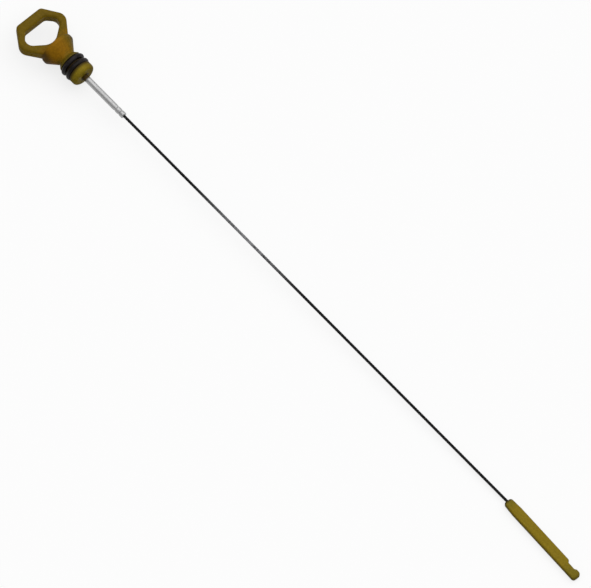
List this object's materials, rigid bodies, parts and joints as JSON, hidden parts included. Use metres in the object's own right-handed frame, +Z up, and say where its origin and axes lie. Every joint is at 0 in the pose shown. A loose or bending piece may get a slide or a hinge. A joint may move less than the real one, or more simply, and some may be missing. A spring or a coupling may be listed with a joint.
{
  "type": "engine oil dipstick",
  "caption": "Engine oil dipstick with a six-sided finger ring, a stop collar, a sealed plug, a thin steel stem in a metal sleeve and a flat notched level tip.",
  "frame": {"origin": "centre of the footprint's bounding box, on the ground that the stick lies on", "axes": "+X along the stick from the finger ring to the level tip, +Y across the flat of the ring, +Z up"},
  "size_m": [0.4929, 0.0344, 0.0224],
  "materials": {
    "handle": "moulded, fine grain",
    "seal": "smooth moulded",
    "sleeve": "plated, fine drawn lines",
    "stem": "blackened, twisted wires",
    "level_tip": "moulded, fine grain"
  },
  "bodies": {
    "root": {"handle": "handle", "upper_o_ring": "seal", "lower_o_ring": "seal", "sleeve": "sleeve", "stem": "stem", "level_tip": "level_tip"}
  },
  "joints": []
}
